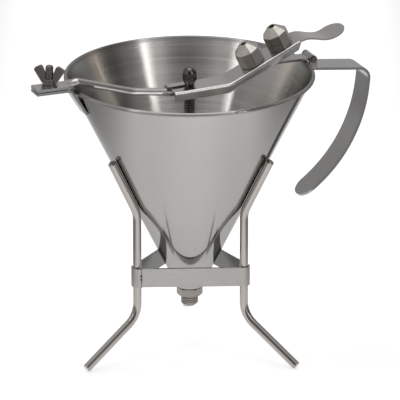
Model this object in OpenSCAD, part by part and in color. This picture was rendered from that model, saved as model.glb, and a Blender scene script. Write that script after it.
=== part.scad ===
// Sauce portion dispenser: a conical funnel with a lifting valve rod, a thumb lever and a strap
// handle, resting in a stand of three bent rods.
// Origin on the funnel axis at table level, +Z up, +X along the lever towards the handle.
// Millimetres and degrees.

/* [Funnel] */
// Outer diameter of the cone sheet at the rim
rim_d = 200; // [180:1:220]
// Angle between the cone wall and the axis
cone_angle = 26.2; // [24:0.1:28]
// Sheet thickness of the cone
cone_t = 1; // [0.6:0.1:1.5]
// Outer diameter of the cone at its lower end
cone_low_d = 20; // [19:0.1:21]
// Radius of the rolled bead at the rim
bead_r = 1.6; // [1:0.1:2]
// How far the bead stands outside the rim
bead_out = 1.3; // [0.4:0.1:1.4]

/* [Outlet] */
// Width across the flats of the hexagonal collar
hex_af = 18.5; // [17:0.5:22]
// Height of the hexagonal collar
hex_h = 7.5; // [6:0.5:10]
// Height of the cut on the lower corners of the collar
hex_cut = 1.6; // [0.8:0.1:2.4]
// Turn of the hexagonal collar
hex_turn = 36; // [0:1:60]
// Diameter of the outlet thread, which the nozzles share
thread_d = 14; // [12.5:0.5:15]
// Length of the outlet stub below the collar
stub_l = 8.2; // [7:0.1:11]
// Height of the cut on the lower edge of the stub
stub_cut = 2.2; // [1:0.1:2.4]
// Diameter of the passage inside the outlet
passage_d = 10.8; // [10:0.1:11.4]
// Diameter of the mouth that the valve closes
mouth_d = 8.4; // [7.4:0.1:8.8]
// Height of the straight lip of the mouth
mouth_lip = 1.2; // [0.8:0.1:2]

/* [Stand] */
// Diameter of the leg rods
rod_d = 7; // [6:0.5:8]
// Distance of the upright leg stretches from the axis
leg_r = 50; // [46:0.5:56]
// Height of the corner where the legs lean out to carry the cone
upper_corner_z = 127; // [115:1:140]
// Length of the leaning stretch that carries the cone
cradle_l = 53; // [40:1:65]
// Height of the corner where the legs spread to the feet
lower_corner_z = 39; // [34:1:46]
// Angle between a foot and the vertical
foot_angle = 53; // [48:1:58]
// Bend radius of the rods at their middle
leg_bend_r = 22; // [16:1:26]
// Cut on the rod ends
rod_cut = 0.7; // [0.3:0.1:1.2]
// Turn of the stand under the lever
stand_turn = -20; // [-24:1:10]
// Height of the lower edge of the band
band_z = 65; // [62:1:74]
// Width of the band
band_h = 16; // [12:1:22]
// Thickness of the band
band_t = 1.5; // [1:0.1:2]
// Length of the lapped end of the band
lap_l = 4; // [3:0.5:12]

/* [Straps] */
// Width of the handle
strap_w = 24; // [22:0.5:28]
// Width of the bracket and the arm plate
plate_w = 15; // [14:0.5:18]
// Thickness of the bracket, arm plate and handle
strap_t = 2.2; // [1.5:0.1:2.5]
// Bend radius where a strap leaves the cone
strap_bend_r = 5; // [3.5:0.5:7]

/* [Clamp] */
// Length of the bracket leg that is welded to the cone
bracket_leg_l = 23; // [16:1:30]
// Reach of the bracket tab beyond the rim
tab_l = 33; // [29:0.5:38]
// Height of the middle of the bracket tab above the rim
tab_rise = 0.5; // [0:0.1:1.5]
// Distance of the clamp stud beyond the rim
clamp_out = 20; // [18:0.5:22]
// Diameter of the clamp stud
stud_d = 6; // [5:0.5:7]
// Length of the clamp stud above the arm plate
stud_l = 17; // [14:0.5:20]
// Diameter of the clamp washer
washer_d = 13; // [12:0.5:16]
// Thickness of the clamp washer
washer_t = 1.2; // [0.8:0.1:1.6]
// Diameter of the wing nut hub at its foot
wing_hub_d = 10; // [9.5:0.5:12]
// Height of the wing nut hub
wing_hub_h = 5; // [4.5:0.5:7]
// Length of a wing
wing_l = 14; // [12:0.5:17]
// Width of a wing near its tip
wing_w = 7.5; // [6:0.5:8.5]
// Width of a wing at its foot
wing_foot_w = 5.5; // [4.5:0.5:6]
// Thickness of a wing
wing_t = 2.6; // [2:0.1:3.4]
// Lean of a wing away from the stud
wing_lean = 28; // [22:1:34]
// Turn of the wings about the stud
wing_turn = -40; // [-90:5:90]
// Narrowing of the wing nut hub towards its top
wing_hub_taper = 1.2; // [0.6:0.2:1.6]
// Height of a wing's foot above the washer
wing_foot = 2; // [1.8:0.1:2.6]
// How far the middle of a wing's foot sits inside the hub's edge
wing_in = 1.6; // [1.2:0.1:2]

/* [Guide arm] */
// Outer radius of the half-round stretch of the arm
arm_r = 4.8; // [4:0.1:5.5]
// Sheet thickness of the half-round stretch
arm_t = 1.2; // [0.9:0.1:1.6]
// Distance of the arm's hump inside the rim
hump_in = 3; // [2:0.5:6]
// Height of the middle of the hump above the middle of the clamped plate
hump_rise = 1.1; // [0.5:0.1:2]
// Distance of the arm's second corner from the axis
arm_corner_x = 50; // [44:1:56]
// Depth of the second corner below the rim
arm_corner_drop = 9.7; // [8.5:0.1:10.5]
// Depth of the guide eye below the rim
eye_drop = 16.2; // [15.4:0.1:17]
// Outer diameter of the guide eye
eye_d = 15; // [14:0.5:17]
// Thickness of the guide eye
eye_t = 3; // [2.4:0.1:3.4]
// Width of the flat tongue that carries the eye
eye_tongue_w = 11; // [9:0.5:13]
// Length of the flat tongue between the half-round stretch and the axis
eye_tongue_l = 21; // [20:0.5:24]
// Length of the flat tongue under the half-round stretch
eye_tongue_lap = 4; // [3:0.5:6]
// Outer diameter of the guide bush
bush_d = 8; // [7.5:0.1:9]
// Diameter of the bush flange under the eye
bush_flange_d = 11; // [10:0.5:13]
// Thickness of the bush flange
bush_flange_t = 1.5; // [1:0.1:2]
// How far the bush stands above the eye
bush_top = 0.5; // [0.2:0.1:1]
// Bend radius of the arm
arm_bend_r = 24; // [18:1:30]
// Distance inside the rim where the plate has narrowed to the half-round stretch
taper_in = 16; // [12:1:22]
// Length of the tapered nose where the half-round stretch begins
ridge_nose = 11; // [8:0.5:14]

/* [Valve] */
// Diameter of the valve rod
valve_rod_d = 5; // [4.6:0.1:5.2]
// Diameter of the knob on top of the rod
knob_d = 12; // [11:0.1:13]
// Height of the round belt of the knob
knob_belt = 4.6; // [3:0.1:6]
// Height of the tapered foot of the knob above the lever
knob_taper = 5.2; // [4:0.1:6.5]
// Wall of the knob round the rod at its foot
knob_wall = 0.3; // [0.2:0.05:0.5]
// Outer diameter of the closing spring
spring_d = 9.2; // [8.6:0.1:9.6]
// Wire diameter of the closing spring
wire_d = 1.2; // [1:0.05:1.2]
// Length of the closing spring at rest
spring_l = 43; // [42:1:48]
// Number of turns of the closing spring
spring_turns = 22; // [18:1:22]
// Diameter of the collar that the spring pushes on
collar_d = 10.4; // [9.8:0.1:11.4]
// Height of the collar
collar_h = 5; // [4:0.5:7]
// Height of the straight stretch of the valve plug
plug_h = 10; // [8:0.5:13]
// Height of the tapered shoulder of the valve plug
plug_taper = 4; // [3:0.5:6]
// How far the nose of the plug shows below the mouth
nose_out = 1.5; // [1:0.1:2]
// Distance between the rod's lower end and the valve seat
rod_end_up = 3; // [2:0.5:4]
// Wall of the plug round the rod at its top
plug_wall = 0.8; // [0.6:0.1:1.2]

/* [Lever] */
// Sheet thickness of the lever
lever_t = 1.5; // [1.2:0.1:1.8]
// Width of the lever channel
lever_w = 25; // [23:0.5:27]
// Depth of the lever flanges below the top face
flange_h = 7.4; // [6.5:0.1:9]
// Outer radius of the folds along the lever
fold_r = 2.4; // [1.9:0.1:3]
// Distance of the hinge pin beyond the rim
hinge_out = 5; // [4.6:0.1:6]
// Height of the hinge pin above the rim
hinge_rise = 1.8; // [1.6:0.1:3]
// Distance of the lever's kink from the hinge pin
kink_in = 73; // [70:0.5:76]
// Depth of the kink below the hinge pin
kink_drop = 11.4; // [11:0.1:11.8]
// Rise of the inner stretch of the lever
inner_rise = 2; // [1.6:0.1:2.6]
// Rise of the outer stretch of the lever
outer_rise = 25.7; // [25:0.1:27]
// Fall of the neck stretch between the outer stretch and the paddle
neck_fall = 10; // [6:0.5:12]
// Rise of the thumb paddle
paddle_rise = 22; // [16:1:26]
// Bend radius of the lever at its corners
lever_bend_r = 18; // [12:1:24]
// Length of the outer stretch between its corners
outer_l = 70.5; // [69:0.5:76]
// Length of the neck stretch between its corners
neck_l = 21; // [18:0.5:24]
// Length of the thumb paddle beyond the neck stretch
paddle_l = 19.5; // [17:0.5:24]
// Width of the paddle
paddle_w = 24.5; // [23:0.5:28]
// Width of the neck in front of the paddle
neck_w = 17; // [13:0.5:20]
// Distance of the neck's narrowest place from its first corner
neck_x = 11; // [9:0.5:13]
// Reach of the forked end past the axis
fork_l = 17; // [14:0.5:18.5]
// Width of the fork's slot
slot_w = 6.8; // [6.6:0.1:7.4]
// Depth of the flange where the outer stretch begins
flange_start_h = 4; // [2.5:0.1:5]
// Depth of the flange along the outer stretch
outer_flange_h = 6; // [5:0.1:7.4]
// Share of the outer stretch where the flange has this depth
flange_full = 0.55; // [0.4:0.05:0.7]
// Length of the paddle's rounded tip as a share of its width
paddle_round = 0.4; // [0.3:0.05:0.5]
// How far the fork's slot runs past the rod
slot_past = 1.2; // [1:0.1:2]

/* [Hinge] */
// Diameter of the hinge pin
pin_d = 4; // [3.5:0.1:4.4]
// Outer diameter of the knuckle round the pin
knuckle_d = 6.2; // [6:0.1:7]
// Width of the hinge tongue
tongue_w = 12.5; // [10:0.5:16]
// Thickness of the hinge tongue
tongue_t = 2; // [1.5:0.1:2.4]
// Length of the tongue under the outer stretch of the lever
tongue_grip = 13; // [8:0.5:16]
// Bend radius of the tongue
tongue_bend_r = 6; // [4:0.5:8]
// Thickness of the bracket ears
ear_t = 2; // [1.5:0.1:2.5]
// Radius of the rounded top of an ear
ear_r = 3.2; // [3:0.1:3.4]
// Thickness of the bracket's foot
foot_t = 1; // [0.8:0.1:1.2]
// Diameter of the peened heads of the pin
pin_head_d = 6; // [5.4:0.1:7]
// Thickness of the peened heads
pin_head_t = 1.2; // [0.8:0.1:1.6]

/* [Nozzles] */
// Width across the flats of a nozzle
nozzle_af = 19.5; // [18:0.5:20.5]
// Height of the straight sides of a nozzle
nozzle_side_h = 13; // [11:0.5:14]
// Overall height of a nozzle
nozzle_h = 19; // [17.5:0.5:22]
// Width of the flat tip of a nozzle
nozzle_tip = 7.4; // [6.8:0.1:9]
// Hole of the nozzle nearer the axis
hole_a_d = 4; // [3:0.5:5]
// Hole of the nozzle nearer the paddle
hole_b_d = 5; // [3:0.5:5]
// Distance of the first nozzle from the kink along the lever
nozzle_first = 26; // [24.5:0.1:28]
// Spacing of the two nozzles along the lever
nozzle_pitch = 27.1; // [25:0.1:28.5]
// Height of the threaded posts that hold the nozzles
post_h = 7; // [5:0.5:8]
// Turn of the nozzles about their axes
nozzle_turn = -24; // [-45:1:45]

/* [Handle] */
// Length of the handle leg that is welded to the cone
handle_leg_l = 27; // [18:1:36]
// Depth of the middle of the strap below the rim where it leaves the cone
handle_drop = 5.3; // [4.8:0.1:6]
// Fall of the top stretch of the handle
handle_fall = 6.6; // [4:0.2:9]
// Radius of the grip's curve
grip_r = 116; // [104:1:130]
// Distance of the middle of the grip's curve inside the rim
grip_in = 63; // [58:0.2:70]
// Depth of the middle of the grip's curve below the rim
grip_drop = 14; // [11:0.5:17]
// Angle below level where the grip's curve starts
grip_from = 6; // [3:0.5:10]
// Angle below level where the grip's curve ends
grip_to = 53; // [44:1:58]
// Length of the straight stretch at the grip's free end
grip_tail = 3; // [1:0.5:8]
// Bend radius at the top of the grip
grip_bend_r = 9; // [7:0.5:13]

/* [Clearances] */
// Gap between pieces that are welded or pressed together
weld_gap = 0.03; // [0.02:0.01:0.05]
// Gap between the bracket tab and the arm plate that is clamped over it
plate_gap = 0.8; // [0.5:0.1:0.9]
// Gap between the cone and the legs that carry it
seat_gap = 0.3; // [0.3:0.05:0.5]
// Gap on the radius between a thread and the piece screwed onto it
thread_gap = 0.35; // [0.3:0.05:0.5]
// Gap under a piece that is screwed down
face_gap = 0.1; // [0.05:0.05:0.2]
// Running gap on the radius of a sliding rod or a hinge pin
run_gap = 0.08; // [0.04:0.01:0.1]
// Gap between the side faces of the hinge
side_gap = 0.4; // [0.3:0.05:0.6]
// Gap between the valve plug and its seat
valve_gap = 0.3; // [0.3:0.05:0.4]
// Gap between the knob and the lever
knob_gap = 0.35; // [0.3:0.05:0.5]
// Gap round the plug inside the passage
plug_side_gap = 0.5; // [0.4:0.05:0.7]
// Gap round the nose of the plug inside the mouth
nose_gap = 0.4; // [0.35:0.05:0.6]

/* [Hidden] */
$fn = 72;
steel = [0.72, 0.71, 0.70];
dark_steel = [0.42, 0.41, 0.40];
rod_steel = [0.66, 0.64, 0.62];

// Cone and its seat on the legs
rim_r = rim_d / 2;
apex_z = upper_corner_z + ((rod_d / 2 + seat_gap) / cos(cone_angle) - leg_r) / tan(cone_angle);
rim_z = apex_z + rim_r / tan(cone_angle);
cone_wall = cone_t / cos(cone_angle);
cone_base_r = cone_low_d / 2;
cone_base_z = apex_z + cone_base_r / tan(cone_angle);
bead_centre = [rim_r + bead_out - bead_r, rim_z - bead_r];

// Outlet
hex_z = cone_base_z - weld_gap - hex_h;
stub_z = hex_z - stub_l;
seat_rise = (passage_d - mouth_d) * 2 / 3;
flare_r = hex_af / 2 - cone_wall;
flare_h = flare_r - passage_d / 2;

// Legs
foot_end_z = rod_d / 2 * sin(foot_angle) - rod_cut * cos(foot_angle);
foot_end_r = leg_r + (lower_corner_z - foot_end_z) * tan(foot_angle);
cradle_end = [leg_r + cradle_l * sin(cone_angle), upper_corner_z + cradle_l * cos(cone_angle)];
leg_path = [[foot_end_r, foot_end_z], [leg_r, lower_corner_z], [leg_r, upper_corner_z], cradle_end];
left_leg_angle = 210 + stand_turn;
right_leg_angle = 330 + stand_turn;
rear_leg_angle = 90 + stand_turn;

// Straps that leave the cone: the lean keeps a strap outside the bead and on the cone at its lower end
function cone_point(down) = [rim_r - down * sin(cone_angle), rim_z - down * cos(cone_angle)]
    + weld_gap * [cos(cone_angle), -sin(cone_angle)];
function strap_lean(down) = let (v = bead_centre - cone_point(down))
    atan2(v[1], v[0]) - asin((bead_r + weld_gap) / norm(v));
function strap_foot(down) = let (a = strap_lean(down))
    cone_point(down) + strap_t / 2 * [sin(a), -cos(a)];
tab_z = rim_z + tab_rise;
tab_end = rim_r + tab_l;
bracket_path = [strap_foot(bracket_leg_l),
    line_meet(strap_foot(bracket_leg_l), strap_lean(bracket_leg_l), [0, tab_z], 0),
    [tab_end, tab_z]];

// Handle
grip_centre = [rim_r - grip_in, rim_z - grip_drop];
grip_mid = (grip_from + grip_to) / 2;
grip_corner = grip_centre + grip_r / cos((grip_to - grip_from) / 2) * [cos(grip_mid), -sin(grip_mid)];
grip_end = grip_centre + grip_r * [cos(grip_to), -sin(grip_to)];
grip_tip = grip_end + grip_tail * [-sin(grip_to), -cos(grip_to)];
handle_root = [rim_r + hinge_out, rim_z - handle_drop];
handle_path = [strap_foot(handle_leg_l),
    line_meet(strap_foot(handle_leg_l), strap_lean(handle_leg_l), handle_root, -handle_fall),
    line_meet(handle_root, -handle_fall, grip_corner, -90 - grip_from),
    grip_corner, grip_tip];

// Clamp
clamp_x = -(rim_r + clamp_out);
plate_z = tab_z + strap_t + plate_gap;
plate_top = plate_z + strap_t / 2;
washer_z = plate_top + weld_gap;
nut_z = washer_z + washer_t + face_gap;
wing_base_x = wing_hub_d / 2 - wing_in;

// Guide arm
arm_hump = [-(rim_r - hump_in), plate_z + hump_rise];
arm_corner = [-arm_corner_x, rim_z - arm_corner_drop];
eye_z = rim_z - eye_drop;
plate_break = [-(rim_r + bead_out + strap_bend_r), plate_z];
arm_path = [[-tab_end, plate_z], plate_break, arm_hump, arm_corner, [0, eye_z]];
taper_from = rim_r + bead_out + strap_t;
taper_to = rim_r - taper_in;

// Lever
hinge = [rim_r + hinge_out, rim_z + hinge_rise];
kink = hinge - [kink_in, kink_drop];
fork_end = kink - (kink[0] + fork_l) * [1, tan(inner_rise)];
neck_corner = kink + outer_l * [cos(outer_rise), sin(outer_rise)];
paddle_corner = neck_corner + neck_l * [cos(neck_fall), -sin(neck_fall)];
paddle_end = paddle_corner + paddle_l * [cos(paddle_rise), sin(paddle_rise)];
lever_path = [fork_end, kink, neck_corner, paddle_corner, paddle_end];
lever_radii = [0, lever_bend_r, lever_bend_r, lever_bend_r, 0];
lever_top_at_rod = kink[1] - kink[0] * tan(inner_rise) + lever_t / 2 / cos(inner_rise);
slot_end = slot_w / 2 + slot_past;

// Hinge tongue under the outer stretch
under = kink + (lever_t + tongue_t + 2 * weld_gap) / 2 * [sin(outer_rise), -cos(outer_rise)];
tongue_corner = line_meet(under, outer_rise, hinge, 0);
tongue_path = [tongue_corner - tongue_grip * [cos(outer_rise), sin(outer_rise)], tongue_corner, hinge];
ear_y = tongue_w / 2 + side_gap;
pin_l = 2 * (ear_y + ear_t + weld_gap);
root_top = strap_t / 2 / cos(handle_fall) + weld_gap;

// Valve
bush_z = eye_z - eye_t / 2 - weld_gap - bush_flange_t;
spring_top = bush_z - weld_gap;
spring_r = (spring_d - wire_d) / 2;
collar_top = spring_top - spring_l - 2 * weld_gap;
plug_r = passage_d / 2 - plug_side_gap;
nose_r = mouth_d / 2 - nose_gap;
seat_slope = seat_rise / ((passage_d - mouth_d) / 2);
plug_gap_z = valve_gap * sqrt(1 + seat_slope * seat_slope);
plug_seat_z = stub_z + mouth_lip + plug_gap_z;
plug_top = stub_z + mouth_lip + seat_rise + plug_h;
knob_slope = (knob_d / 2 - slot_w / 2 + knob_gap) / knob_taper;
knob_foot_r = valve_rod_d / 2 + knob_wall;
knob_taper_z = lever_top_at_rod + knob_taper;
knob_foot_z = knob_taper_z - (knob_d / 2 - knob_foot_r) / knob_slope;
knob_ball_z = knob_taper_z + knob_belt;
rod_bottom = plug_seat_z + rod_end_up;

// Point where the line through p with heading a meets the line through q with heading b
function line_meet(p, a, q, b) = let (u = [cos(a), sin(a)], v = [cos(b), sin(b)])
    p + cross(q - p, v) / cross(u, v) * u;
function heading(p, i) = atan2(p[i + 1][1] - p[i][1], p[i + 1][0] - p[i][0]);
function turn_at(p, i) = let (d = heading(p, i) - heading(p, i - 1)) d - 360 * round(d / 360);
function trim_at(p, r, i) = i == 0 || i == len(p) - 1 ? 0 : r[i] * tan(abs(turn_at(p, i)) / 2);
function smooth(from, to, k) = from + (to - from) * (1 - cos(180 * k)) / 2;

// Straight stretches run a little way into the bends beside them, and are a hair slimmer
sweep_lap = 0.15;
slim = 0.01;

// Two profiles carried along corner points p in the XZ plane: the first in the bends of radius r at
// the corners, the second along the straight stretches. A profile's x lies across the path and its y
// points to the path's left.
module bent_sweep(p, r) {
    rotate([90, 0, 0]) {
        for (i = [0 : len(p) - 2]) {
            from = trim_at(p, r, i) - (i > 0 ? sweep_lap : 0);
            to = norm(p[i + 1] - p[i]) - trim_at(p, r, i + 1) + (i < len(p) - 2 ? sweep_lap : 0);
            translate(p[i]) rotate(heading(p, i)) translate([from, 0]) rotate([0, 90, 0])
                linear_extrude(to - from) children(1);
        }
        for (i = [1 : 1 : len(p) - 2]) {
            left = turn_at(p, i) > 0;
            start = left ? -90 : 90 + turn_at(p, i);
            translate(p[i]) rotate(heading(p, i - 1))
                translate([-trim_at(p, r, i), left ? r[i] : -r[i]]) rotate(start)
                    rotate_extrude(angle = abs(turn_at(p, i))) translate([r[i], 0])
                        mirror(left ? [1, 0] : [0, 1]) rotate(-90) children(0);
        }
    }
}

module strip(p, r, w, t) {
    bent_sweep(p, r) {
        square([w, t], center = true);
        square([w - 2 * slim, t - 2 * slim], center = true);
    }
}

// An outline in the XZ plane drawn out across the width w
module side_outline(points, w) {
    rotate([90, 0, 0]) linear_extrude(w, center = true) polygon(points);
}

// Stand
// Cuts the edge of a rod's end at p, where the rod leaves along heading a
module rod_end_cut(p, a) {
    slack = 1;
    rotate([90, 0, 0]) translate(p) rotate(a) rotate([0, 90, 0]) difference() {
        translate([0, 0, -rod_cut]) cylinder(h = rod_cut + slack, d = rod_d + slack);
        translate([0, 0, -rod_cut - slack])
            cylinder(h = rod_cut + 2 * slack, r1 = rod_d / 2 + slack, r2 = rod_d / 2 - rod_cut - slack);
    }
}

module leg(a) {
    color(rod_steel) rotate(a) difference() {
        bent_sweep(leg_path, [0, leg_bend_r, leg_bend_r, 0]) {
            circle(d = rod_d);
            circle(d = rod_d - 2 * slim);
        }
        rod_end_cut(leg_path[0], foot_angle - 90);
        rod_end_cut(leg_path[3], 90 - cone_angle);
    }
}

module left_leg() leg(left_leg_angle);
module right_leg() leg(right_leg_angle);
module rear_leg() leg(rear_leg_angle);

// Rounded triangle at distance q round the three legs
module leg_outline(q) {
    angles = [left_leg_angle, right_leg_angle, rear_leg_angle];
    for (a = angles) translate(leg_r * [cos(a), sin(a)]) circle(q);
    polygon([for (a = angles, side = [-60, 60])
        leg_r * [cos(a), sin(a)] + q * [cos(a + side), sin(a + side)]]);
}

module leg_band() {
    inner = rod_d / 2 + weld_gap;
    a = left_leg_angle;
    color(steel) translate([0, 0, band_z]) {
        linear_extrude(band_h) difference() {
            leg_outline(inner + band_t);
            leg_outline(inner);
        }
        // Lapped end on the front face, beside the left leg
        translate(leg_r * [cos(a), sin(a)]) rotate(a + 60)
            translate([inner + band_t - weld_gap, 0]) cube([band_t, lap_l, band_h]);
    }
}

// Funnel
module funnel_cone() {
    color(steel) rotate_extrude() {
        polygon([[cone_base_r - cone_wall, cone_base_z], [cone_base_r, cone_base_z],
            [rim_r, rim_z], [rim_r - cone_wall, rim_z]]);
        translate(bead_centre) circle(bead_r);
    }
}

module outlet_fitting() {
    corner_r = hex_af / 2 / cos(30);
    seat_z = stub_z + mouth_lip;
    color(dark_steel) rotate(hex_turn) difference() {
        union() {
            intersection() {
                translate([0, 0, hex_z]) cylinder(h = hex_h, r = corner_r, $fn = 6);
                rotate_extrude() polygon([[0, hex_z - 1], [corner_r - 2 * hex_cut - 2, hex_z - 1],
                    [corner_r, hex_z + hex_cut], [corner_r + 1, hex_z + hex_h + 1], [0, hex_z + hex_h + 1]]);
            }
            rotate_extrude() polygon([[0, stub_z], [thread_d / 2 - stub_cut, stub_z],
                [thread_d / 2, stub_z + stub_cut], [thread_d / 2, hex_z + 1], [0, hex_z + 1]]);
        }
        // Mouth, valve seat, passage and flare
        rotate_extrude() polygon([[0, stub_z - 1], [mouth_d / 2, stub_z - 1], [mouth_d / 2, seat_z],
            [passage_d / 2, seat_z + seat_rise], [passage_d / 2, hex_z + hex_h - flare_h],
            [flare_r, hex_z + hex_h], [flare_r, hex_z + hex_h + 1], [0, hex_z + hex_h + 1]]);
    }
}

module left_bracket() {
    color(steel) difference() {
        mirror([1, 0, 0]) strip(bracket_path, [0, strap_bend_r, 0], plate_w, strap_t);
        translate([clamp_x, 0, tab_z - strap_t]) cylinder(h = 2 * strap_t, d = stud_d + 2 * weld_gap);
    }
}

module clamp_stud() {
    cut = stud_d / 8;
    top = plate_top + stud_l;
    color(dark_steel) translate([clamp_x, 0, 0]) rotate_extrude()
        polygon([[0, tab_z - strap_t / 2], [stud_d / 2, tab_z - strap_t / 2], [stud_d / 2, top - cut],
            [stud_d / 2 - cut, top], [0, top]]);
}

module clamp_washer() {
    color(steel) translate([clamp_x, 0, washer_z]) difference() {
        cylinder(h = washer_t, d = washer_d);
        translate([0, 0, -1]) cylinder(h = washer_t + 2, d = stud_d + 2 * thread_gap);
    }
}

module wing_nut() {
    color(dark_steel) translate([clamp_x, 0, nut_z]) rotate(wing_turn) difference() {
        union() {
            cylinder(h = wing_hub_h, d1 = wing_hub_d, d2 = wing_hub_d - wing_hub_taper);
            for (side = [0, 180]) rotate(side) translate([wing_base_x, 0, wing_foot])
                rotate([0, wing_lean, 0]) rotate([90, 0, 0])
                    linear_extrude(wing_t, center = true) wing_outline();
        }
        translate([0, 0, -1]) cylinder(h = wing_hub_h + wing_l, d = stud_d + 2 * thread_gap);
    }
}

module wing_outline() {
    round_r = 2;
    inner_x = wing_w / 2 - round_r;
    polygon([[-wing_foot_w / 2, 0], [wing_foot_w / 2, 0], [wing_w / 2, wing_l - round_r], [inner_x, wing_l],
        [-inner_x, wing_l], [-wing_w / 2, wing_l - round_r]]);
    for (x = [-inner_x, inner_x]) translate([x, wing_l - round_r]) circle(round_r);
}

// Guide arm
module half_round(less) {
    difference() {
        circle(arm_r - less);
        circle(arm_r - arm_t + less);
        translate([-arm_r - 1, -2 * arm_r + less]) square([2 * arm_r + 2, 2 * arm_r]);
    }
}

module guide_arm() {
    base = strap_t / 2;
    tongue_at = [-eye_tongue_l, line_meet(arm_corner, heading(arm_path, 3), [-eye_tongue_l, 0], 90)[1]];
    ridge = [arm_hump, arm_corner, tongue_at];
    plan = [for (k = [0 : 0.1 : 1])
        [-taper_from + k * (taper_from - taper_to), smooth(plate_w / 2, arm_r, k)]];
    mirrored = [for (i = [len(plan) - 1 : -1 : 0]) [plan[i][0], -plan[i][1]]];
    color(steel) difference() {
        union() {
            intersection() {
                strip(arm_path, [0, arm_bend_r, arm_bend_r, arm_bend_r, 0], plate_w, strap_t);
                translate([0, 0, eye_z - plate_w]) linear_extrude(4 * plate_w)
                    polygon(concat([[-tab_end, plate_w / 2]], plan, mirrored, [[-tab_end, -plate_w / 2]]));
            }
            bent_sweep(ridge, [0, arm_bend_r, 0]) {
                translate([0, -base]) half_round(0);
                translate([0, -base]) half_round(slim);
            }
            translate([arm_hump[0], 0, arm_hump[1]]) rotate([0, -heading(arm_path, 2), 0])
                translate([0, 0, -base]) {
                    upper_half() sphere(arm_r);
                    rotate([0, turn_at(arm_path, 2), 0]) upper_half() ridge_end();
                }
            strip([tongue_at - eye_tongue_lap * [1, tan(heading(arm_path, 3))], [0, eye_z]], [0, 0],
                eye_tongue_w, strap_t);
            translate([0, 0, eye_z]) cylinder(h = eye_t, d = eye_d, center = true);
        }
        translate([0, 0, eye_z]) cylinder(h = 4 * eye_t, d = bush_d + 2 * weld_gap, center = true);
        translate([clamp_x, 0, plate_z])
            cylinder(h = 3 * strap_t, d = stud_d + 2 * thread_gap, center = true);
    }
}

// Nose that closes the half-round stretch and sinks into the plate
module ridge_end() {
    rotate([0, -90, 0]) rotate_extrude()
        polygon(concat([[0, 0]], [for (k = [0 : 0.125 : 0.875]) [arm_r * (1 - k * k), ridge_nose * k]],
            [[0, ridge_nose]]));
}

// What lies above the plate's lower face
module upper_half() {
    reach = 2 * ridge_nose;
    intersection() {
        children();
        translate([-reach, -reach, strap_t / 4]) cube(2 * reach);
    }
}

module guide_bush() {
    color(dark_steel) difference() {
        translate([0, 0, bush_z]) {
            cylinder(h = bush_flange_t, d = bush_flange_d);
            cylinder(h = bush_flange_t + weld_gap + eye_t + bush_top, d = bush_d);
        }
        translate([0, 0, bush_z - 1]) cylinder(h = eye_t * 4, d = valve_rod_d + 2 * run_gap);
    }
}

// Handle
module handle_strap() {
    color(steel) {
        strip(handle_path, [0, strap_bend_r, grip_bend_r, grip_r, 0], strap_w, strap_t);
        // Rounded free end
        rotate([90, 0, 0]) translate(grip_tip) rotate(-90 - grip_to) rotate([90, 0, 0])
            linear_extrude(strap_t, center = true) intersection() {
                circle(d = strap_w);
                translate([-sweep_lap, -strap_w / 2]) square(strap_w);
            }
    }
}

module hinge_bracket() {
    front = hinge[0] - ear_r;
    foot_w = 2 * (ear_y + ear_t);
    floor_z = handle_root[1] + root_top;
    color(steel) difference() {
        union() {
            for (side = [-1, 1]) translate([hinge[0], side * (ear_y + ear_t / 2), hinge[1]]) {
                rotate([90, 0, 0]) cylinder(h = ear_t, r = ear_r, center = true);
                translate([-ear_r, -ear_t / 2, -hinge_rise - handle_drop])
                    cube([2 * ear_r, ear_t, hinge_rise + handle_drop]);
            }
            translate([front, -foot_w / 2, floor_z - foot_t]) cube([2 * ear_r, foot_w, 2 * foot_t]);
        }
        translate([hinge[0], 0, hinge[1]]) rotate([90, 0, 0])
            cylinder(h = 2 * foot_w, d = pin_d + 2 * weld_gap, center = true);
        // Everything below the top face of the handle
        translate([handle_root[0], 0, handle_root[1]]) rotate([0, handle_fall, 0])
            translate([-3 * ear_r, -foot_w, -10 + root_top]) cube([6 * ear_r, 2 * foot_w, 10]);
    }
}

module hinge_pin() {
    head_r = pin_head_d / 2;
    tip_y = pin_l / 2 + pin_head_t;
    half = [[pin_d / 2, pin_l / 2], [head_r, pin_l / 2], [head_r - pin_head_t / 2, tip_y], [0, tip_y]];
    other = [for (i = [len(half) - 1 : -1 : 0]) [half[i][0], -half[i][1]]];
    color(dark_steel) translate([hinge[0], 0, hinge[1]]) rotate([90, 0, 0])
        rotate_extrude() polygon(concat(half, other));
}

// Lever
module channel_profile(less) {
    inner_r = fold_r - lever_t;
    translate([0, lever_t / 2]) difference() {
        translate([0, -less]) rounded_top(lever_w - 2 * less, fold_r - less);
        translate([0, -lever_t + less]) rounded_top(lever_w - 2 * lever_t + 2 * less, inner_r + less);
    }
}

// Rectangle of the flange depth below the x axis with rounded upper corners
module rounded_top(w, r) {
    translate([-w / 2, -flange_h - 2]) square([w, flange_h + 2 - r]);
    translate([-w / 2 + r, -flange_h - 2]) square([w - 2 * r, flange_h + 2]);
    for (side = [-1, 1]) translate([side * (w / 2 - r), -r]) circle(r);
}

// Point at distance s along the outer stretch from the kink, at depth d below the middle of the sheet
function on_outer(s, d) = kink + s * [cos(outer_rise), sin(outer_rise)]
    + d * [sin(outer_rise), -cos(outer_rise)];
function on_inner(s, d) = kink - s * [cos(inner_rise), sin(inner_rise)]
    + d * [sin(inner_rise), -cos(inner_rise)];

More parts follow.
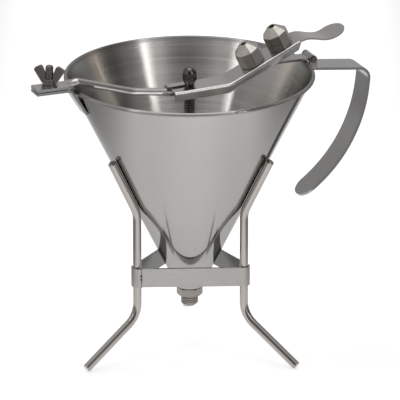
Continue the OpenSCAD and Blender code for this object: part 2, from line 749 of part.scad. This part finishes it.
module thumb_lever() {
    depth = flange_h - lever_t / 2;
    outer_depth = outer_flange_h - lever_t / 2;
    flange_end = outer_l - 3;
    reach = kink[0] + 2 * fork_l;
    sides = [on_inner(reach, depth), on_inner(2, depth), on_outer(6, flange_start_h),
        on_outer(outer_l * flange_full, outer_depth), on_outer(flange_end - outer_depth, outer_depth),
        on_outer(flange_end, 0),
        on_outer(flange_end, -20), on_inner(reach, -40)];
    neck = neck_corner[0] + neck_x;
    tip = paddle_end[0];
    round_x = tip - paddle_w * paddle_round;
    shoulder = neck_corner[0] - 4;
    step = 0.125;
    half = concat([for (k = [0 : step : 1])
            [shoulder + k * (neck - shoulder), smooth((lever_w - lever_t) / 2, neck_w / 2, k)]],
        [for (k = [step : step : 1]) [neck + k * (round_x - neck), smooth(neck_w / 2, paddle_w / 2, k)]],
        [for (a = [80 : -10 : 0]) [round_x + (tip - round_x) * cos(a), paddle_w / 2 * sin(a)]]);
    other = [for (i = [len(half) - 2 : -1 : 0]) [half[i][0], -half[i][1]]];
    color(steel) difference() {
        union() {
            intersection() {
                bent_sweep(lever_path, lever_radii) {
                    channel_profile(0);
                    channel_profile(slim);
                }
                side_outline(sides, 2 * lever_w);
            }
            intersection() {
                strip(lever_path, lever_radii, 2 * paddle_w, lever_t);
                translate([0, 0, kink[1]]) linear_extrude(4 * outer_l) polygon(concat(half, other));
            }
        }
        // Open slot that lets the rod through
        translate([slot_end - slot_w / 2, 0, rim_z - 3 * flange_h]) {
            cylinder(h = 4 * flange_h, d = slot_w);
            translate([-2 * fork_l, -slot_w / 2, 0]) cube([2 * fork_l, slot_w, 4 * flange_h]);
        }
    }
}

module hinge_tongue() {
    color(steel) difference() {
        union() {
            strip(tongue_path, [0, tongue_bend_r, 0], tongue_w, tongue_t);
            translate([hinge[0], 0, hinge[1]]) rotate([90, 0, 0])
                cylinder(h = tongue_w, d = knuckle_d, center = true);
        }
        translate([hinge[0], 0, hinge[1]]) rotate([90, 0, 0])
            cylinder(h = 2 * tongue_w, d = pin_d + 2 * run_gap, center = true);
    }
}

// Place on the top face of the outer stretch at distance s from the kink
module on_slope(s) {
    translate([kink[0], 0, kink[1]]) rotate([0, -outer_rise, 0]) translate([s, 0, lever_t / 2]) children();
}

module nozzle_post(s) {
    color(dark_steel) on_slope(s) translate([0, 0, weld_gap]) cylinder(h = post_h, d = thread_d);
}

module nozzle_post_a() nozzle_post(nozzle_first);
module nozzle_post_b() nozzle_post(nozzle_first + nozzle_pitch);

module nozzle(s, hole_d) {
    edge = 0.6;
    half = nozzle_af / 2;
    outline = [[-half + edge, 0], [half - edge, 0], [half, edge], [half, nozzle_side_h],
        [nozzle_tip / 2, nozzle_h], [-nozzle_tip / 2, nozzle_h], [-half, nozzle_side_h], [-half, edge]];
    socket_h = post_h + 1;
    color(dark_steel) on_slope(s) translate([0, 0, face_gap]) rotate(nozzle_turn) difference() {
        intersection_for(a = [0 : 45 : 135]) rotate(a) rotate([90, 0, 0])
            linear_extrude(2 * nozzle_af, center = true) polygon(outline);
        translate([0, 0, -1]) cylinder(h = socket_h + 1, d = thread_d + 2 * thread_gap);
        translate([0, 0, socket_h]) cylinder(h = nozzle_h - socket_h - 3, d1 = thread_d - 2, d2 = hole_d);
        cylinder(h = nozzle_h + 1, d = hole_d);
    }
}

module nozzle_a() nozzle(nozzle_first, hole_a_d);
module nozzle_b() nozzle(nozzle_first + nozzle_pitch, hole_b_d);

// Valve
module valve_rod() {
    color(dark_steel) translate([0, 0, rod_bottom])
        cylinder(h = knob_taper_z + knob_belt / 2 - rod_bottom, d = valve_rod_d);
}

module ball_knob() {
    groove = 0.5;
    r = knob_d / 2;
    belt_z = knob_taper_z + knob_belt / 2;
    color(dark_steel) difference() {
        union() {
            translate([0, 0, knob_ball_z]) sphere(d = knob_d);
            rotate_extrude() polygon([[0, knob_foot_z], [knob_foot_r, knob_foot_z], [r, knob_taper_z],
                [r, belt_z - groove], [r - groove, belt_z - groove], [r - groove, belt_z], [r, belt_z],
                [r, knob_ball_z], [0, knob_ball_z]]);
        }
        translate([0, 0, knob_foot_z - 1])
            cylinder(h = belt_z + weld_gap - knob_foot_z + 1, d = valve_rod_d + 2 * weld_gap);
    }
}

// Closing spring: one wire swept along a helix, with a ring of wire_sides points at every step
wire_steps = 8;
wire_sides = 6;
wire_rings = spring_turns * wire_steps;
spring_pitch = (spring_l - wire_d) / spring_turns;
function coil_point(i) = let (a = 360 * i / wire_steps)
    [spring_r * cos(a), spring_r * sin(a), spring_top - wire_d / 2 - spring_pitch * i / wire_steps];
function coil_ring(i) = let (a = 360 * i / wire_steps,
        along = [-sin(a) * spring_r * 2 * PI, cos(a) * spring_r * 2 * PI, -spring_pitch],
        out = [cos(a), sin(a), 0], side = cross(along / norm(along), out))
    [for (k = [0 : wire_sides - 1]) coil_point(i)
        + wire_d / 2 * (cos(360 * k / wire_sides) * out + sin(360 * k / wire_sides) * side)];
coil_gap = min([for (i = [0 : wire_rings], j = [i + wire_steps / 2 : 1 : wire_rings])
    norm(coil_point(i) - coil_point(j))]) - wire_d;
echo(least_gap_of_the_spring_to_itself = coil_gap);

module closing_spring() {
    points = [for (i = [0 : wire_rings]) each coil_ring(i)];
    last = wire_rings * wire_sides;
    walls = [for (i = [0 : wire_rings - 1], k = [0 : wire_sides - 1])
        let (a = i * wire_sides + k, b = i * wire_sides + (k + 1) % wire_sides)
        each [[a, b, b + wire_sides], [a, b + wire_sides, a + wire_sides]]];
    caps = [for (k = [1 : wire_sides - 2]) each [[0, k + 1, k], [last, last + k, last + k + 1]]];
    color(dark_steel) polyhedron(points, concat(walls, caps));
}

module spring_collar() {
    color(dark_steel) translate([0, 0, collar_top - collar_h]) difference() {
        cylinder(h = collar_h, d = collar_d);
        translate([0, 0, -1]) cylinder(h = collar_h + 2, d = valve_rod_d + 2 * weld_gap);
    }
}

module valve_plug() {
    shoulder_z = plug_seat_z + (nose_r - mouth_d / 2) * seat_slope;
    shoulder_top = shoulder_z + (plug_r - nose_r) * seat_slope;
    tip_z = stub_z - nose_out;
    tip_r = (nose_r * nose_r + nose_out * nose_out) / (2 * nose_out);
    color(dark_steel) difference() {
        intersection() {
            rotate_extrude() polygon([[0, tip_z - 1], [nose_r, tip_z - 1], [nose_r, shoulder_z],
                [plug_r, shoulder_top], [plug_r, plug_top],
                [valve_rod_d / 2 + plug_wall, plug_top + plug_taper], [0, plug_top + plug_taper]]);
            // Rounded nose below the mouth
            union() {
                translate([0, 0, tip_z + tip_r]) sphere(tip_r);
                translate([0, 0, stub_z]) cylinder(h = plug_top + plug_taper, r = plug_r + 1);
            }
        }
        translate([0, 0, rod_bottom - weld_gap])
            cylinder(h = plug_top + plug_taper, d = valve_rod_d + 2 * weld_gap);
    }
}

left_leg();
right_leg();
rear_leg();
leg_band();
funnel_cone();
outlet_fitting();
left_bracket();
clamp_stud();
clamp_washer();
wing_nut();
guide_arm();
guide_bush();
handle_strap();
hinge_bracket();
hinge_pin();
thumb_lever();
hinge_tongue();
nozzle_post_a();
nozzle_post_b();
nozzle_a();
nozzle_b();
valve_rod();
ball_knob();
closing_spring();
spring_collar();
valve_plug();
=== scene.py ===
import math

import bmesh
import bpy
from mathutils import Matrix, Vector


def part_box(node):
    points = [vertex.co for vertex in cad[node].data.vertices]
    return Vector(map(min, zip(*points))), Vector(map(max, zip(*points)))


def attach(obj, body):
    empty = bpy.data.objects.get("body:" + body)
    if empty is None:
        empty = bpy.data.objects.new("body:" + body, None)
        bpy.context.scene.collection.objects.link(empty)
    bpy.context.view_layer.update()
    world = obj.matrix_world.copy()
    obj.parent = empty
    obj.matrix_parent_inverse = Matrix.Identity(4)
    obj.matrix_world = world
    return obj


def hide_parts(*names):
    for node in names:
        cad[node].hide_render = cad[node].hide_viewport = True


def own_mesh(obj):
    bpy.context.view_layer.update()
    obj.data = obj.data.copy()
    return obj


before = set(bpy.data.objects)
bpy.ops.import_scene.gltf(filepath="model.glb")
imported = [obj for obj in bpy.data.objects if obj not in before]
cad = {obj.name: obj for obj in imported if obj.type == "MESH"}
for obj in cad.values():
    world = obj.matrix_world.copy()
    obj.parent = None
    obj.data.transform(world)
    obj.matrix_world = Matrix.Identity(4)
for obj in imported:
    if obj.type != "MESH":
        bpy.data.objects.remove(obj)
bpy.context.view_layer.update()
scene = bpy.context.scene
scene.view_settings.view_transform = "Standard"

# Camera: a long lens at the photograph's viewing angle
azimuth = math.radians(-22)
elevation = math.radians(19.8)
distance = 4.0
picture_width = 400
pixels_per_metre = 1232.0
right = Vector((math.cos(azimuth), math.sin(azimuth), 0))
back = Vector((math.sin(azimuth) * math.cos(elevation), -math.cos(azimuth) * math.cos(elevation),
               math.sin(elevation)))
up = back.cross(right)
aim_height = 0.140
aim_across = 0.0085
aim_drop = 0.0103
aim = Vector((0, 0, aim_height)) + aim_across * right - aim_drop * up
camera_data = bpy.data.cameras.new("camera")
camera_data.lens = pixels_per_metre * distance * camera_data.sensor_width / picture_width
camera_data.clip_end = 50
camera = bpy.data.objects.new("camera", camera_data)
scene.collection.objects.link(camera)
facing = Matrix((right, up, back)).transposed().to_4x4()
camera.matrix_world = Matrix.Translation(aim + distance * back) @ facing
scene.camera = camera


# Node helpers
class Nodes:
    """Short ways to add nodes to one tree, which starts empty."""

    def __init__(self, tree):
        self.tree = tree
        tree.nodes.clear()

    def add(self, kind, links=None, **settings):
        node = self.tree.nodes.new(kind)
        for key, value in settings.items():
            setattr(node, key, value)
        for key, value in (links or {}).items():
            self.put(node, key, value)
        return node

    def put(self, node, key, value):
        socket = node.inputs[key]
        if isinstance(value, bpy.types.NodeSocket):
            self.tree.links.new(value, socket)
        else:
            socket.default_value = value

    def math(self, operation, *values):
        node = self.add("ShaderNodeMath", operation=operation)
        for i, value in enumerate(values):
            self.put(node, i, value)
        return node.outputs[0]

    def ramp(self, factor, stops):
        """Colour ramp over (position, colour) stops, where a single number is a grey."""
        node = self.add("ShaderNodeValToRGB", {"Fac": factor})
        elements = node.color_ramp.elements
        while len(elements) < len(stops):
            elements.new(0.5)
        for element, (position, colour) in zip(elements, stops):
            element.position = position
            element.color = rgba((colour,) * 3 if isinstance(colour, float) else colour)
        return node.outputs["Color"]

    def span(self, value, from_low, from_high, to_low=0.0, to_high=1.0, smooth=False):
        node = self.add("ShaderNodeMapRange", {"Value": value, "From Min": from_low, "From Max": from_high,
                                               "To Min": to_low, "To Max": to_high})
        if smooth:
            node.interpolation_type = "SMOOTHSTEP"
        return node.outputs["Result"]

    def scaled(self, vector, scale):
        return self.add("ShaderNodeMapping", {"Vector": vector, "Scale": scale}).outputs[0]

    def noise(self, vector, scale, detail):
        node = self.add("ShaderNodeTexNoise", {"Vector": vector, "Scale": scale, "Detail": detail})
        return node.outputs["Fac"]

    def mix(self, factor, a, b):
        """Blend of two colours, which are sockets 6 and 7 of the node."""
        node = self.add("ShaderNodeMix", data_type="RGBA")
        self.put(node, "Factor", factor)
        self.put(node, 6, a)
        self.put(node, 7, b)
        return node.outputs[2]

    def rounded(self, radius):
        """Normal that softens the sharp edges of a solid."""
        return self.add("ShaderNodeBevel", {"Radius": radius}, samples=4).outputs[0]

    def dot(self, a, b):
        return self.add("ShaderNodeVectorMath", {0: a, 1: b}, operation="DOT_PRODUCT").outputs["Value"]

    def inward(self, coordinates):
        """Direction away from the Z axis, and a mask of the faces that look towards that axis."""
        inward_limit = -0.4
        parts = self.add("ShaderNodeSeparateXYZ", {"Vector": coordinates.outputs["Object"]})
        flat = self.add("ShaderNodeCombineXYZ", {"X": parts.outputs["X"], "Y": parts.outputs["Y"]})
        outward = self.add("ShaderNodeVectorMath", {0: flat.outputs[0]}, operation="NORMALIZE").outputs[0]
        return outward, self.math("LESS_THAN", self.dot(outward, coordinates.outputs["Normal"]), inward_limit)

    def swung(self, vector):
        """X, Y and Z of a vector in axes that are turned to the camera's side."""
        turned = self.add("ShaderNodeVectorRotate", {"Vector": vector, "Angle": -azimuth},
                          rotation_type="Z_AXIS")
        return self.add("ShaderNodeSeparateXYZ", {"Vector": turned.outputs[0]}).outputs


def rgba(colour):
    return (*colour, 1.0)


# World: a studio that is darker towards the camera, with soft light on both sides
world = bpy.data.worlds.new("studio")
scene.world = world
world.use_nodes = True
n = Nodes(world.node_tree)
parts = n.swung(n.add("ShaderNodeTexCoord").outputs["Generated"])
heading = n.math("ARCTAN2", parts["X"], n.math("MULTIPLY", parts["Y"], -1.0))
swing = n.span(heading, -math.pi, math.pi)
warm_light = (0.62, 0.52, 0.44)
cream_light = (1.0, 0.92, 0.84)
# Light of the walls by heading in degrees, 0 towards the camera and positive to its right
studio = [(-180, 0.55), (-150, 0.48), (-126, 0.44), (-115, cream_light), (-105, 0.60), (-95, 0.56),
          (-80, 0.47), (-66, 0.27), (-57, 0.32), (-45, 0.55), (-35, 0.54), (-28, 0.45), (-20, 0.26),
          (-12, 0.18), (0, 0.10), (9, 0.12), (15, 0.16), (20, 0.23), (26, 0.42), (32, 0.68), (40, 0.76),
          (50, 0.72), (56, 0.48), (60, 0.33), (66, 0.25), (76, 0.16), (83, 0.085), (93, 0.05), (101, 0.16),
          (108, warm_light), (117, 0.24), (140, 0.57)]
walls = n.ramp(swing, [((angle + 180) / 360, light) for angle, light in studio])
overhead = n.span(parts["Z"], 0.72, 0.95, smooth=True)
ceiling_light = (0.85, 0.85, 0.86)
sky = n.mix(overhead, walls, rgba(ceiling_light))
surface = n.add("ShaderNodeBackground", {"Color": sky, "Strength": 1.0})
n.add("ShaderNodeOutputWorld", {"Surface": surface.outputs[0]})


def lamp(name, swing_deg, rise_deg, reach, size_x, size_y, radiance, colour=(1, 1, 1)):
    """Area lamp that looks at the object, placed by its heading from the camera and its height angle."""
    data = bpy.data.lights.new(name, "AREA")
    data.shape = "RECTANGLE"
    data.size = size_x
    data.size_y = size_y
    data.energy = radiance * math.pi * size_x * size_y
    data.color = colour
    lamp_object = bpy.data.objects.new(name, data)
    scene.collection.objects.link(lamp_object)
    a = azimuth + math.radians(swing_deg)
    e = math.radians(rise_deg)
    way = Vector((math.sin(a) * math.cos(e), -math.cos(a) * math.cos(e), math.sin(e)))
    lamp_object.location = Vector((0, 0, lamp_aim_height)) + reach * way
    lamp_object.rotation_euler = way.to_track_quat("Z", "Y").to_euler()


lamp_aim_height = 0.2
# Heading, height angle, distance, width, height and radiance of each lamp
lamp("strip_left", -53.5, 32, 2.0, 0.12, 1.3, 5.2)
lamp("strip_side", 106, 28, 2.0, 0.05, 1.2, 2.6, (1.0, 0.93, 0.86))
lamp("strip_right", 49, 32, 2.0, 0.17, 1.3, 4.0)
lamp("ceiling", 180, 78, 2.2, 1.6, 1.6, 1.6)

# Floor: white round the object, greyer far out to the sides and towards the camera
floor_size = 8
bpy.ops.mesh.primitive_plane_add(size=floor_size)
floor = bpy.context.object
floor.name = "floor"
floor_material = bpy.data.materials.new("floor")
floor_material.use_nodes = True
n = Nodes(floor_material.node_tree)
parts = n.swung(n.add("ShaderNodeTexCoord").outputs["Object"])
across = n.math("ABSOLUTE", n.math("SUBTRACT", parts["X"], aim_across))
beside = n.span(across, 0.166, 0.30, smooth=True)
in_front = n.span(parts["Y"], -0.33, -0.60, smooth=True)
far = n.math("MAXIMUM", beside, in_front)
from_middle = n.span(across, 0.0, 0.168, smooth=True)
near_glow, far_glow = (0.61, 0.61, 0.61), (0.15, 0.15, 0.155)
middle_paint, side_paint, far_paint = (0.83, 0.83, 0.83), (0.54, 0.54, 0.54), (0.3, 0.3, 0.3)
light = n.mix(far, rgba(near_glow), rgba(far_glow))
paint = n.mix(far, n.mix(from_middle, rgba(middle_paint), rgba(side_paint)), rgba(far_paint))
glow = n.add("ShaderNodeEmission", {"Color": light})
matt = n.add("ShaderNodeBsdfDiffuse", {"Color": paint})
shade = n.add("ShaderNodeAddShader", {0: glow.outputs[0], 1: matt.outputs[0]})
n.add("ShaderNodeOutputMaterial", {"Surface": shade.outputs[0]})
floor.data.materials.append(floor_material)


# Steel
# Brown of the real weld marks, also used for the painted shadow along the cone's lower edge
weld_and_shadow_brown = (0.06, 0.047, 0.038)
relief_depth = 0.0004
cloud_tint = 0.06
noise_low, noise_high = 0.3, 0.7


def steel(name, colour, rough, grain, grain_depth, spread=0.05, edge=0.0004, painted_shade_inside=None, edge_highlight=None, burns=()):
    """Bare steel with fine lines along the low-scale axis of grain, cloudy wear and soft edges.
    One colour darkens the faces towards the axis as painted shade, another lightens the rounded edges as a
    painted highlight, and burns are brown weld marks."""
    material = bpy.data.materials.new(name)
    material.use_nodes = True
    n = Nodes(material.node_tree)
    coordinates = n.add("ShaderNodeTexCoord")
    place = coordinates.outputs["Object"]
    lines = n.noise(n.scaled(place, grain), 10.0, 4.0)
    clouds = n.noise(place, 24.0, 3.0)
    roughness = n.math("ADD", n.span(lines, noise_low, noise_high, rough - spread, rough + spread),
                       n.span(clouds, noise_low, noise_high, -spread / 2, spread / 2))
    dim, bright = ([c * share for c in colour] for share in (1 - cloud_tint, 1 + cloud_tint))
    shade = n.ramp(clouds, [(noise_low, dim), (noise_high, bright)])
    soft = n.rounded(edge)
    # Painted shade: a darker colour on the faces that look towards the axis
    if painted_shade_inside:
        shade = n.mix(n.inward(coordinates)[1], shade, rgba(painted_shade_inside))
    # Painted highlight: a lighter colour along the rounded edges
    if edge_highlight:
        bend = n.dot(soft, n.add("ShaderNodeNewGeometry").outputs["Normal"])
        shade = n.mix(n.span(bend, 0.995, 0.95), shade, rgba(edge_highlight))
    for centre, size in burns:
        scale = [1 / s for s in size]
        shift = [-c * s for c, s in zip(centre, scale)]
        offset = n.add("ShaderNodeMapping", {"Vector": place, "Location": shift, "Scale": scale})
        away = n.add("ShaderNodeVectorMath", {0: offset.outputs[0]}, operation="LENGTH").outputs["Value"]
        shade = n.mix(n.span(away, 1.0, 0.5), shade, rgba(weld_and_shadow_brown))
    relief = n.add("ShaderNodeBump", {"Height": lines, "Strength": grain_depth, "Distance": relief_depth,
                                      "Normal": soft})
    bsdf = n.add("ShaderNodeBsdfPrincipled", {"Base Color": shade, "Metallic": 1.0, "Roughness": roughness,
                                              "Normal": relief.outputs[0]})
    n.add("ShaderNodeOutputMaterial", {"Surface": bsdf.outputs[0]})
    return material


bead_height = 0.0033
bead_rough = 0.3
cone_low, cone_high = (corner[2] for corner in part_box("funnel_cone"))
# Heights above the cone's lower end where the painted shadow is full and where it fades out
painted_shadow_full, painted_shadow_end = 0.0006, 0.0013


def cone_steel():
    """Polished sheet outside, brushed round the axis inside, with a dull bead and a painted shadow in weld
    brown along its lower edge.
    """
    material = bpy.data.materials.new("cone_steel")
    material.use_nodes = True
    n = Nodes(material.node_tree)
    coordinates = n.add("ShaderNodeTexCoord")
    place = coordinates.outputs["Object"]
    outward, inside = n.inward(coordinates)
    ring = n.add("ShaderNodeSeparateXYZ", {"Vector": outward})
    height = n.add("ShaderNodeSeparateXYZ", {"Vector": place}).outputs["Z"]
    rounds = n.add("ShaderNodeCombineXYZ", {"X": ring.outputs["X"], "Y": ring.outputs["Y"], "Z": height})
    lines = n.noise(n.scaled(rounds.outputs[0], (0.3, 0.3, 400.0)), 1.0, 4.0)
    clouds = n.noise(place, 14.0, 3.0)
    rough_in = n.span(lines, noise_low, noise_high, 0.225, 0.275)
    rough_out = n.span(clouds, noise_low, noise_high, 0.07, 0.10)
    bead = n.math("GREATER_THAN", height, cone_high - bead_height)
    inside = n.math("SUBTRACT", inside, n.math("MULTIPLY", inside, bead))
    rough_out = n.math("MAXIMUM", rough_out, n.math("MULTIPLY", bead, bead_rough))
    roughness = n.add("ShaderNodeMix", {"Factor": inside, 2: rough_out, 3: rough_in}).outputs[0]
    shade_out = n.ramp(clouds, [(noise_low, (0.40, 0.388, 0.376)), (noise_high, (0.428, 0.416, 0.405))])
    shade_in = n.ramp(lines, [(noise_low, (0.465, 0.45, 0.43)), (noise_high, (0.535, 0.52, 0.50))])
    shade = n.mix(inside, shade_out, shade_in)
    # Painted shadow: weld brown along the cone's lower edge, where it meets the outlet
    painted_shadow_line = n.span(height, cone_low + painted_shadow_end, cone_low + painted_shadow_full)
    shade = n.mix(painted_shadow_line, shade, rgba(weld_and_shadow_brown))
    bsdf = n.add("ShaderNodeBsdfPrincipled", {"Base Color": shade, "Metallic": 1.0, "Roughness": roughness})
    bsdf.inputs["Specular Tint"].default_value = rgba((0.62, 0.63, 0.62))
    bsdf.inputs["Anisotropic"].default_value = 1.0
    bsdf.inputs["Anisotropic Rotation"].default_value = 0.25
    n.put(bsdf, "Tangent", n.add("ShaderNodeTangent", direction_type="RADIAL", axis="Z").outputs[0])
    n.add("ShaderNodeOutputMaterial", {"Surface": bsdf.outputs[0]})
    return material


# Two spot welds and a seam on the band's lap, each with its centre and its half sizes
seam_x, seam_y = -0.0484, -0.01595
spot_size = (0.0015, 0.0015, 0.0012)
seam_size = (0.0004, 0.0008, 0.0120)
weld_marks = [((seam_x, seam_y, 0.0750), spot_size), ((seam_x, seam_y, 0.0722), spot_size),
              ((seam_x, seam_y, 0.0730), seam_size)]
rod_steel = steel("rod_steel", (0.40, 0.376, 0.356), 0.08, grain=(60, 60, 10), grain_depth=0.01)
# The band's faces towards the axis get a darker colour: painted shade inside the band
sheet_steel = steel("sheet_steel", (0.35, 0.338, 0.325), 0.22, grain=(8, 8, 70), grain_depth=0.008,
                    painted_shade_inside=(0.165, 0.168, 0.16), burns=weld_marks)
strap_steel = steel("strap_steel", (0.385, 0.376, 0.370), 0.24, grain=(7, 60, 60),
                    grain_depth=0.003, spread=0.02)
lever_steel = steel("lever_steel", (0.455, 0.444, 0.434), 0.24, grain=(7, 60, 60),
                    grain_depth=0.003, spread=0.02)
machined_steel = steel("machined_steel", (0.48, 0.45, 0.415), 0.19, grain=(20, 20, 60), grain_depth=0.01)
turned_steel = steel("turned_steel", (0.265, 0.247, 0.228), 0.24, grain=(12, 12, 90), grain_depth=0.02)
dark_steel = steel("dark_steel", (0.17, 0.16, 0.15), 0.20, grain=(20, 20, 60), grain_depth=0.015)
knob_steel = steel("knob_steel", (0.11, 0.105, 0.10), 0.13, grain=(20, 20, 60), grain_depth=0.01)
# The wing nut's edges get a lighter colour: a painted highlight
cast_steel = steel("cast_steel", (0.20, 0.19, 0.175), 0.36, grain=(70, 70, 70), grain_depth=0.12,
                   edge=0.0007, edge_highlight=(0.40, 0.38, 0.35))
wire_steel = steel("wire_steel", (0.16, 0.155, 0.15), 0.28, grain=(40, 40, 40), grain_depth=0.02,
                   edge=0.0001)


def dress(material, *names):
    """Gives solids of the frame one material."""
    for name in names:
        mesh = cad[name].data
        mesh.materials.clear()
        mesh.materials.append(material)


dress(rod_steel, "left_leg", "right_leg", "rear_leg")
dress(sheet_steel, "leg_band")
dress(cone_steel(), "funnel_cone")
dress(strap_steel, "left_bracket", "handle_strap", "hinge_bracket", "hinge_tongue")
dress(lever_steel, "guide_arm", "thumb_lever")
dress(machined_steel, "nozzle_a", "nozzle_b")
dress(turned_steel, "outlet_fitting", "clamp_washer", "nozzle_post_a", "nozzle_post_b", "valve_rod",
      "guide_bush", "spring_collar", "valve_plug")
dress(dark_steel, "clamp_stud", "hinge_pin", "closing_spring")
dress(knob_steel, "ball_knob")
dress(cast_steel, "wing_nut")

sharp_angle = math.radians(40)


def piece(name, mesh, material, body):
    """Object with its own mesh that rides on a body of the frame."""
    thing = bpy.data.objects.new(name, mesh)
    scene.collection.objects.link(thing)
    mesh.materials.append(material)
    mesh.polygons.foreach_set("use_smooth", [True] * len(mesh.polygons))
    mesh.set_sharp_from_angle(angle=sharp_angle)
    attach(thing, body)
    return thing


# Helical wire, which is the spring and, half sunk in a plain cylinder, the ridge of a thread
def helix_mesh(name, length, radius, wire, turns, steps=28, sides=10):
    """Wire of the given thickness round +Z, with its top at the origin and its ends closed."""
    mesh = bmesh.new()
    rings = []
    pitch = (length - wire) / turns
    for i in range(round(turns * steps) + 1):
        a = 2 * math.pi * i / steps
        out = Vector((math.cos(a), math.sin(a), 0))
        round_turn = 2 * math.pi * radius
        along = Vector((-math.sin(a) * round_turn, math.cos(a) * round_turn, -pitch)).normalized()
        across = along.cross(out)
        middle = radius * out + Vector((0, 0, -wire / 2 - pitch * i / steps))
        rings.append([mesh.verts.new(middle + wire / 2 * (math.cos(b) * out + math.sin(b) * across))
                      for b in (2 * math.pi * k / sides for k in range(sides))])
    for lower, upper in zip(rings, rings[1:]):
        for k in range(sides):
            mesh.faces.new((lower[k], lower[(k + 1) % sides], upper[(k + 1) % sides], upper[k]))
    mesh.faces.new(reversed(rings[0]))
    mesh.faces.new(rings[-1])
    bmesh.ops.recalc_face_normals(mesh, faces=mesh.faces)
    data = bpy.data.meshes.new(name)
    mesh.to_mesh(data)
    mesh.free()
    return data


# Closing spring
spring_low, spring_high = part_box("closing_spring")
spring_length = spring_high[2] - spring_low[2]
spring_wire = 0.0012
spring_turns = 22
spring_radius = (spring_high[0] - spring_low[0] - spring_wire) / 2
coil = helix_mesh("closing_coil", spring_length, spring_radius, spring_wire, spring_turns)
coil.transform(Matrix.Translation((0, 0, spring_high[2])))
coil = piece("closing_coil", coil, wire_steel, "funnel")
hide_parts("closing_spring")
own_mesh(coil)


# Threads: ridges that stand a little proud of the plain cylinders that carry them
ridge_share = 0.6
ridge_proud = 0.00022


def thread(name, top, axis, length, radius, pitch, material, body):
    ridge = ridge_share * pitch
    turns = (length - ridge) / pitch
    mesh = helix_mesh(name, length, radius + ridge_proud - ridge / 2, ridge, turns, steps=36, sides=8)
    mesh.transform(Matrix.Translation(top) @ Vector(axis).to_track_quat("Z", "Y").to_matrix().to_4x4())
    piece(name, mesh, material, body)


outlet_low, outlet_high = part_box("outlet_fitting")
hex_height = 0.0075
stub_cut = 0.0022
thread_radius = 0.007
thread_pitch = 0.0016
upright = (0, 0, 1)
stub_top = outlet_high[2] - hex_height
stub_length = stub_top - outlet_low[2] - stub_cut
thread("outlet_thread", (0, 0, stub_top), upright, stub_length, thread_radius, thread_pitch, knob_steel,
       "funnel")

stud_low, stud_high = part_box("clamp_stud")
stud_x = (stud_low[0] + stud_high[0]) / 2
stud_edge = 0.0008
stud_top = stud_high[2] - stud_edge
stud_radius = 0.003
stud_pitch = 0.001
stud_length = 0.0155
thread("stud_thread", (stud_x, 0, stud_top), upright, stud_length, stud_radius, stud_pitch, dark_steel,
       "funnel")

lever_rise = math.radians(25.7)
post_axis = Vector((-math.sin(lever_rise), 0, math.cos(lever_rise)))
post_height = 0.007
post_edge = 0.0004
for letter in "ab":
    low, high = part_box("nozzle_post_" + letter)
    post_top = (Vector(low) + Vector(high)) / 2 + post_axis * (post_height / 2 - post_edge)
    thread("post_thread_" + letter, post_top, post_axis, post_height - 2 * post_edge, thread_radius,
           thread_pitch, turned_steel, "lever")
